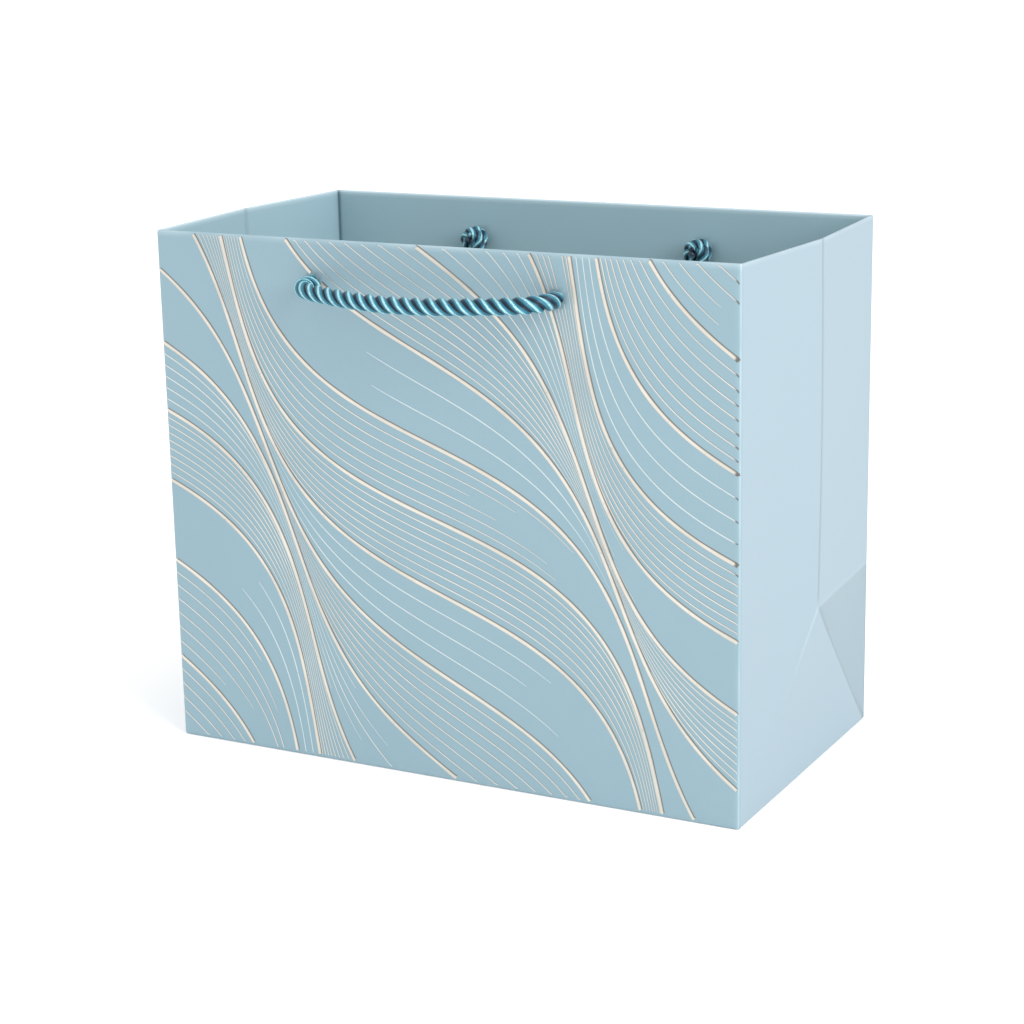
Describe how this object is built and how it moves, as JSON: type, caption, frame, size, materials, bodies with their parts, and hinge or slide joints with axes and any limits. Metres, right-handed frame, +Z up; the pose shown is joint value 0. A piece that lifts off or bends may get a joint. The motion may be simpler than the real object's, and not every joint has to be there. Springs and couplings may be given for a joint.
{
  "type": "gift bag",
  "caption": "Folded paper gift bag with creased side gussets, a block bottom, a turned-in hem, a loose base card and short twisted rope handles.",
  "frame": {"origin": "middle of the base, on the surface that the bag stands on", "axes": "+X along the bag's width, -Y out of the front panel, +Z up through the mouth"},
  "size_m": [0.228, 0.163, 0.186],
  "materials": {
    "panel_paper": "satin",
    "gusset_paper": "satin",
    "hem_paper": "matte",
    "card": "matte",
    "rope": "satin",
    "foil": "polished"
  },
  "bodies": {
    "bag": {"front_panel": "panel_paper", "back_panel": "panel_paper", "right_gusset_front": "gusset_paper", "right_gusset_back": "gusset_paper", "right_gusset_corner": "gusset_paper", "right_gusset_foot": "gusset_paper", "left_gusset_front": "gusset_paper", "left_gusset_back": "gusset_paper", "left_gusset_corner": "gusset_paper", "left_gusset_foot": "gusset_paper", "base_flap_right": "gusset_paper", "base_flap_left": "gusset_paper", "base_flap_front": "panel_paper", "base_flap_back": "panel_paper", "side_glue_tab": "hem_paper", "hem_front": "hem_paper", "hem_back": "hem_paper", "hem_right": "hem_paper", "hem_left": "hem_paper", "front_card": "card", "back_card": "card", "front_knot_left": "rope", "front_knot_right": "rope", "back_knot_left": "rope", "back_knot_right": "rope"},
    "base_card": {"base_card": "card"},
    "front_handle": {"front_handle": "rope"},
    "back_handle": {"back_handle": "rope"}
  },
  "joints": [
    {"name": "front_handle_swing", "type": "hinge", "parent": "bag", "child": "front_handle", "pos_m": [0, -0.0633, 0.171], "axis": [-1, 0, 0], "range_deg": [-80, 85]},
    {"name": "back_handle_swing", "type": "hinge", "parent": "bag", "child": "back_handle", "pos_m": [0, 0.0633, 0.171], "axis": [1, 0, 0], "range_deg": [-80, 85]},
    {"name": "base_card_lift", "type": "slide", "parent": "bag", "child": "base_card", "axis": [0, 0, 1], "range_m": [0, 0.148]}
  ]
}
